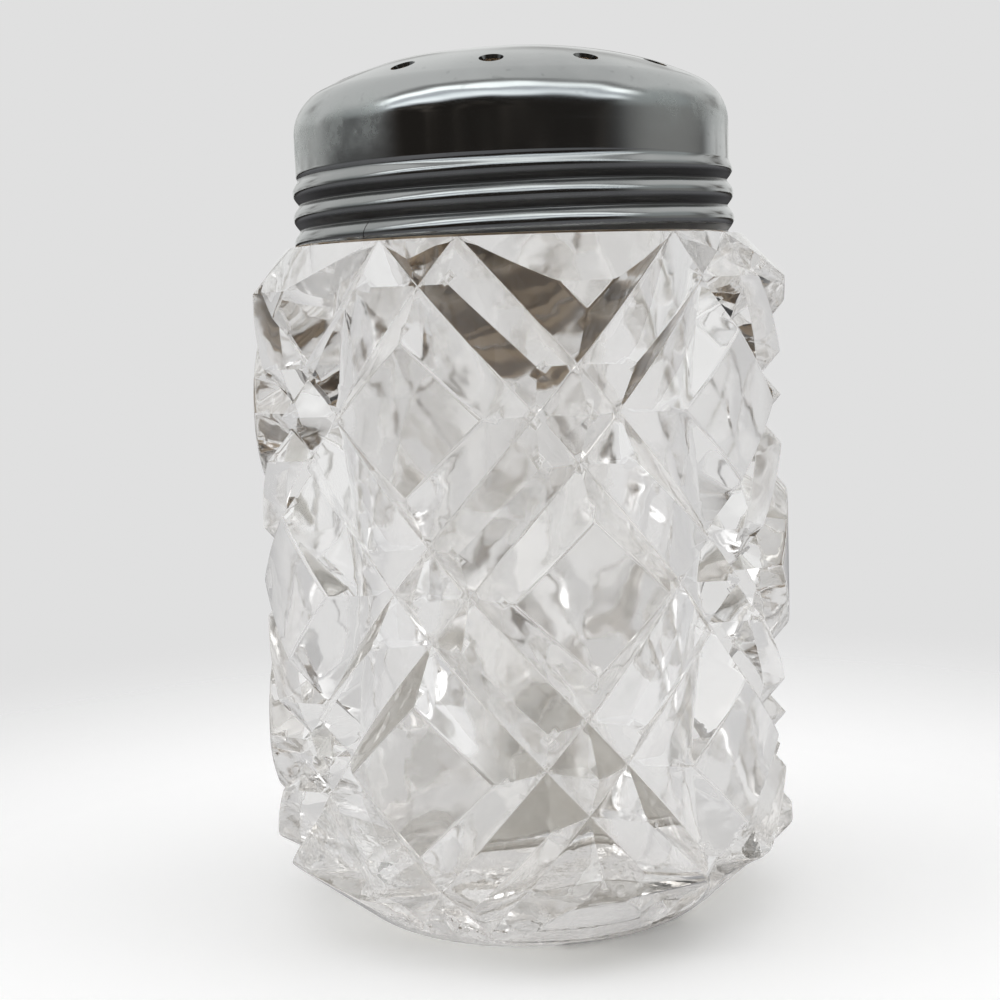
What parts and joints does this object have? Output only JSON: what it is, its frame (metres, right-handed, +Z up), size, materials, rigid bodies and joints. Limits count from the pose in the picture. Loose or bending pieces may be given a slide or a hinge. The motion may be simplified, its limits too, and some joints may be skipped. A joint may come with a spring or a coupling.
{
  "type": "sugar shaker",
  "caption": "Clear pressed-glass sugar shaker with a diamond-cut wall and a domed, pierced metal lid that screws onto its neck.",
  "frame": {"origin": "centre of the jar's foot ring, on the surface it stands on", "axes": "+Z up along the axis of the jar and its lid; the pictured front faces -Y"},
  "size_m": [0.0682, 0.0682, 0.1094],
  "materials": {
    "clear_glass": "polished",
    "tarnished_plate": "polished",
    "waxed_card": "matte"
  },
  "bodies": {
    "jar": {"glass_jar": "clear_glass"},
    "washer": {"seal_washer": "waxed_card"},
    "lid": {"screw_lid": "tarnished_plate"}
  },
  "joints": [
    {"name": "lid_lift", "type": "slide", "parent": "jar", "child": "washer", "axis": [0, 0, 1], "range_m": [0, 0.0158]},
    {"name": "lid_turn", "type": "hinge", "parent": "washer", "child": "lid", "pos_m": [0, 0, 0.0857], "axis": [0, 0, 1], "range_deg": [0, 1800]}
  ],
  "couplings": [
    {"joint": "lid_lift", "follows": "lid_turn", "m_per_rad": 0.00050134}
  ]
}
